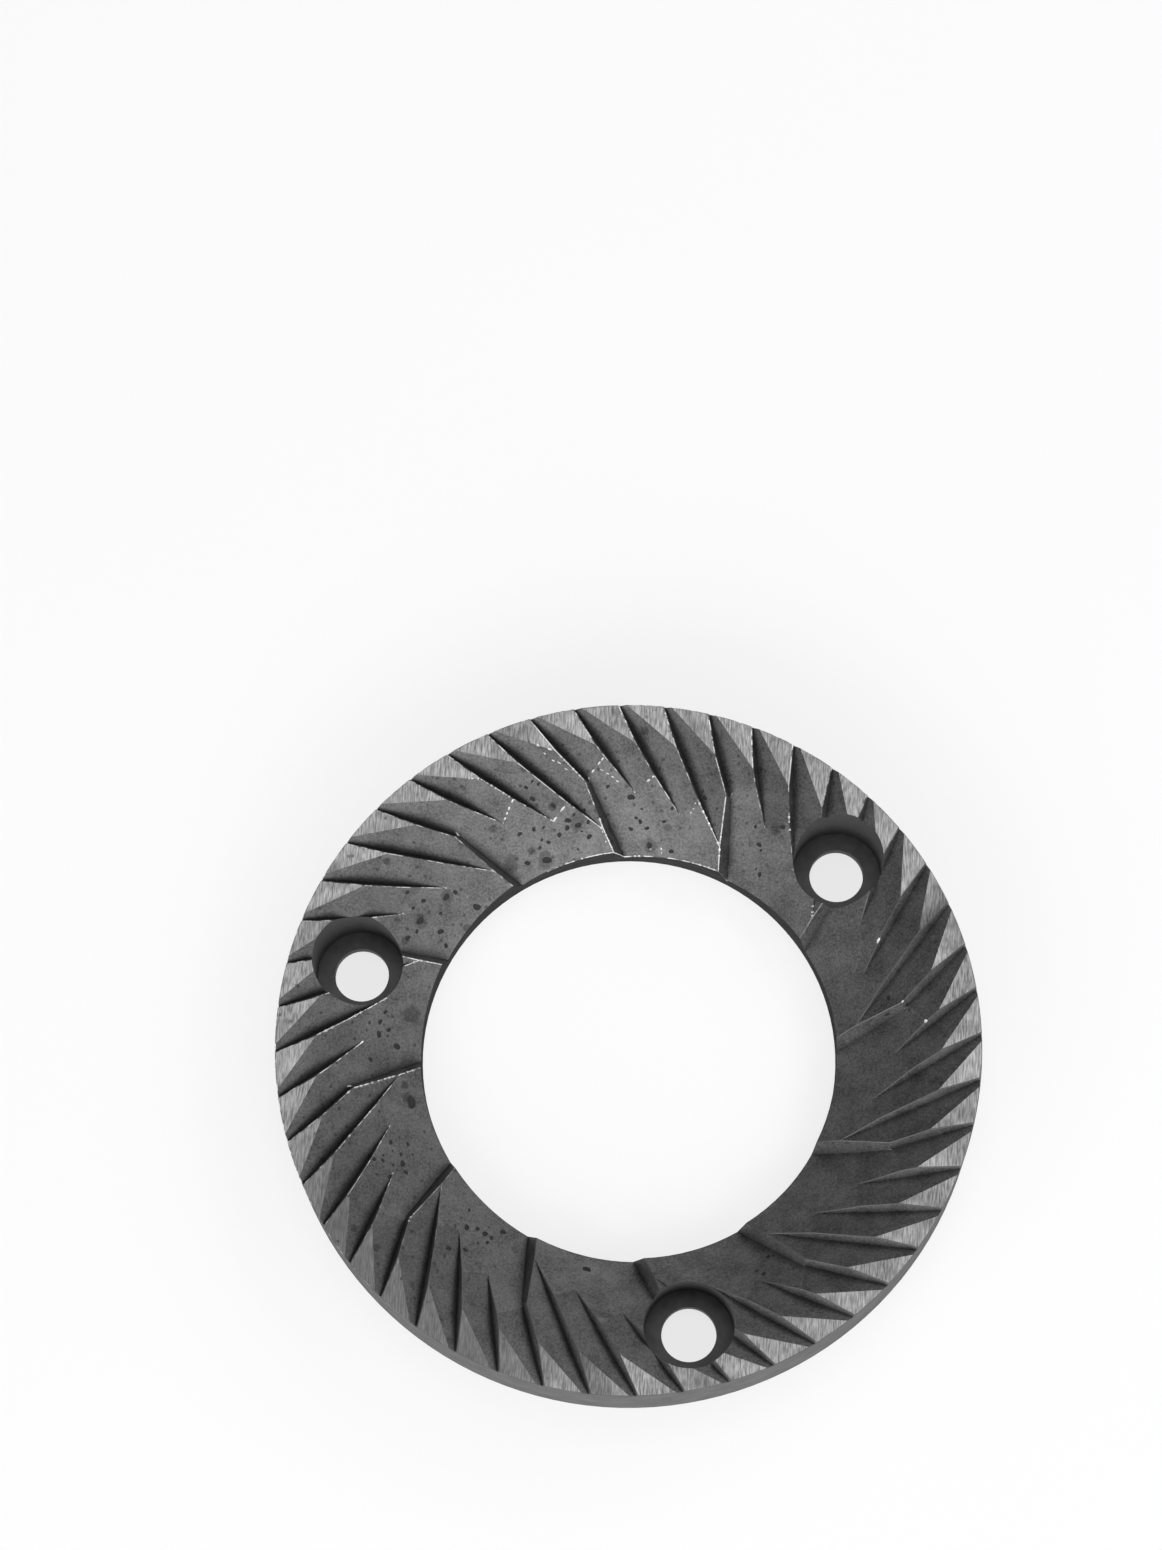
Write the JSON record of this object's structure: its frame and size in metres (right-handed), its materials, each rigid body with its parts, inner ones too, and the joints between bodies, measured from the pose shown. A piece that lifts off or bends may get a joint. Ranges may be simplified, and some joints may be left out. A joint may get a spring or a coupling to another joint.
{
  "type": "coffee grinder burr",
  "caption": "Flat steel grinder burr: a ring with swept V-groove teeth at its rim, coarse pre-breaker steps falling to its bore, and counterbored screw holes.",
  "frame": {"origin": "centre of the flat back face, on the ring's axis", "axes": "+Z along the ring's axis, out of the cutting face; the root of one fine groove meets the rim on -Y"},
  "size_m": [0.064, 0.064, 0.008],
  "materials": {
    "steel": "ground bright on the lands, dull milled grey in the grooves, with small corrosion pits"
  },
  "bodies": {
    "root": {"burr_ring": "steel"}
  },
  "joints": []
}
